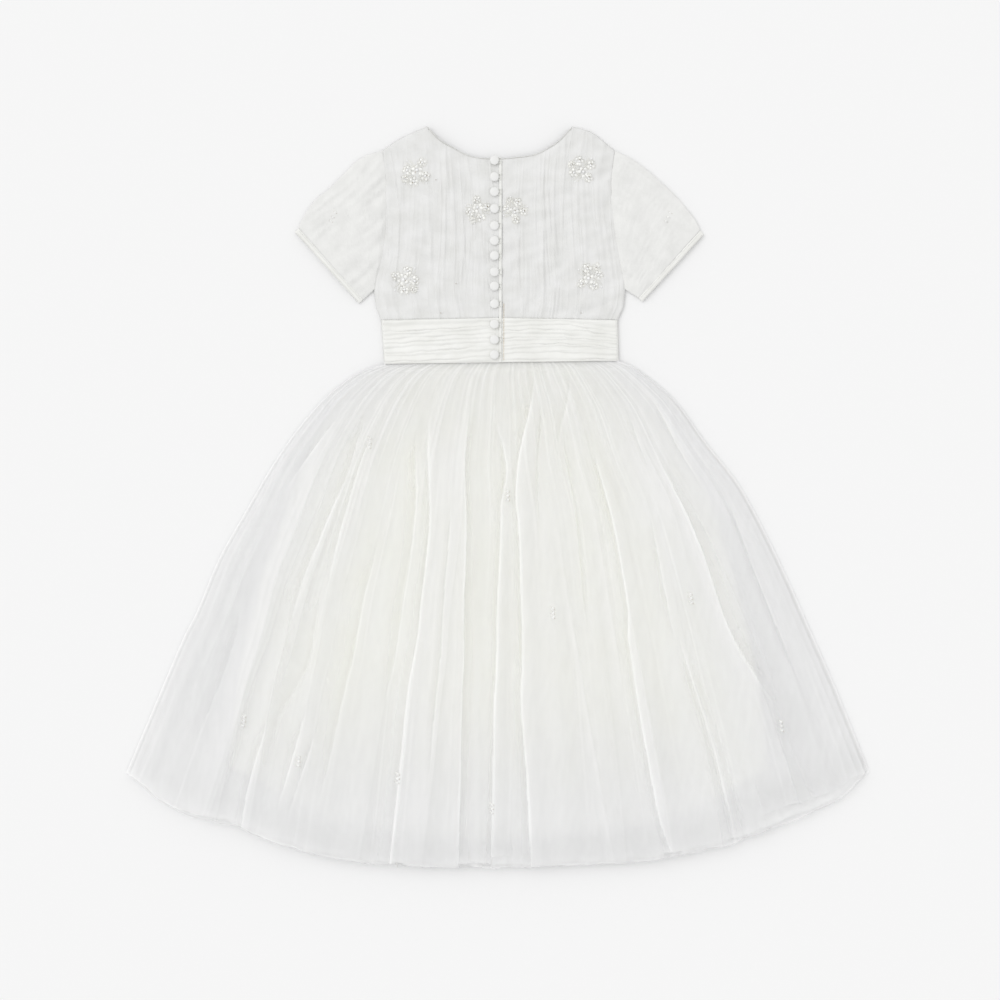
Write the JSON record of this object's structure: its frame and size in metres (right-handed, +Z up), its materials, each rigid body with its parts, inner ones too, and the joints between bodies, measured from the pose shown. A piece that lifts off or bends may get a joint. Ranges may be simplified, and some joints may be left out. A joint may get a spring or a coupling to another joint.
{
  "type": "tulle dress",
  "caption": "Child's white dress laid flat, back up: gathered short-sleeved bodice with a buttoned back opening, ruched sash, and a full skirt of layered tulle and net over a lining.",
  "frame": {"origin": "centre of the part's box on the surface that the dress lies on", "axes": "+X across the dress to its right as seen from above, +Y from the hem to the neck, +Z up from the surface, out of the back of the dress"},
  "size_m": [0.968, 0.964, 0.0298],
  "materials": {
    "chiffon": "matt gathered chiffon",
    "satin": "soft satin",
    "covered_button": "satin-covered",
    "tulle": "matt sheer tulle",
    "net": "matt stiff net",
    "lining": "soft ivory lining"
  },
  "bodies": {
    "root": {"bodice_front": "chiffon", "bodice_back_left": "chiffon", "bodice_back_right": "chiffon", "sleeve_left": "chiffon", "sleeve_right": "chiffon", "sash_front": "satin", "sash_back_left": "satin", "sash_back_right": "satin", "cuff_left": "satin", "cuff_right": "satin", "button_loops": "satin", "button_01": "covered_button", "button_02": "covered_button", "button_03": "covered_button", "button_04": "covered_button", "button_05": "covered_button", "button_06": "covered_button", "button_07": "covered_button", "button_08": "covered_button", "button_09": "covered_button", "button_10": "covered_button", "button_11": "covered_button", "button_12": "covered_button", "button_13": "covered_button", "overskirt_front": "tulle", "overskirt_back": "tulle", "tulle_front": "tulle", "tulle_back": "tulle", "net_front": "net", "net_back": "net", "lining_front": "lining", "lining_back": "lining"}
  },
  "joints": []
}
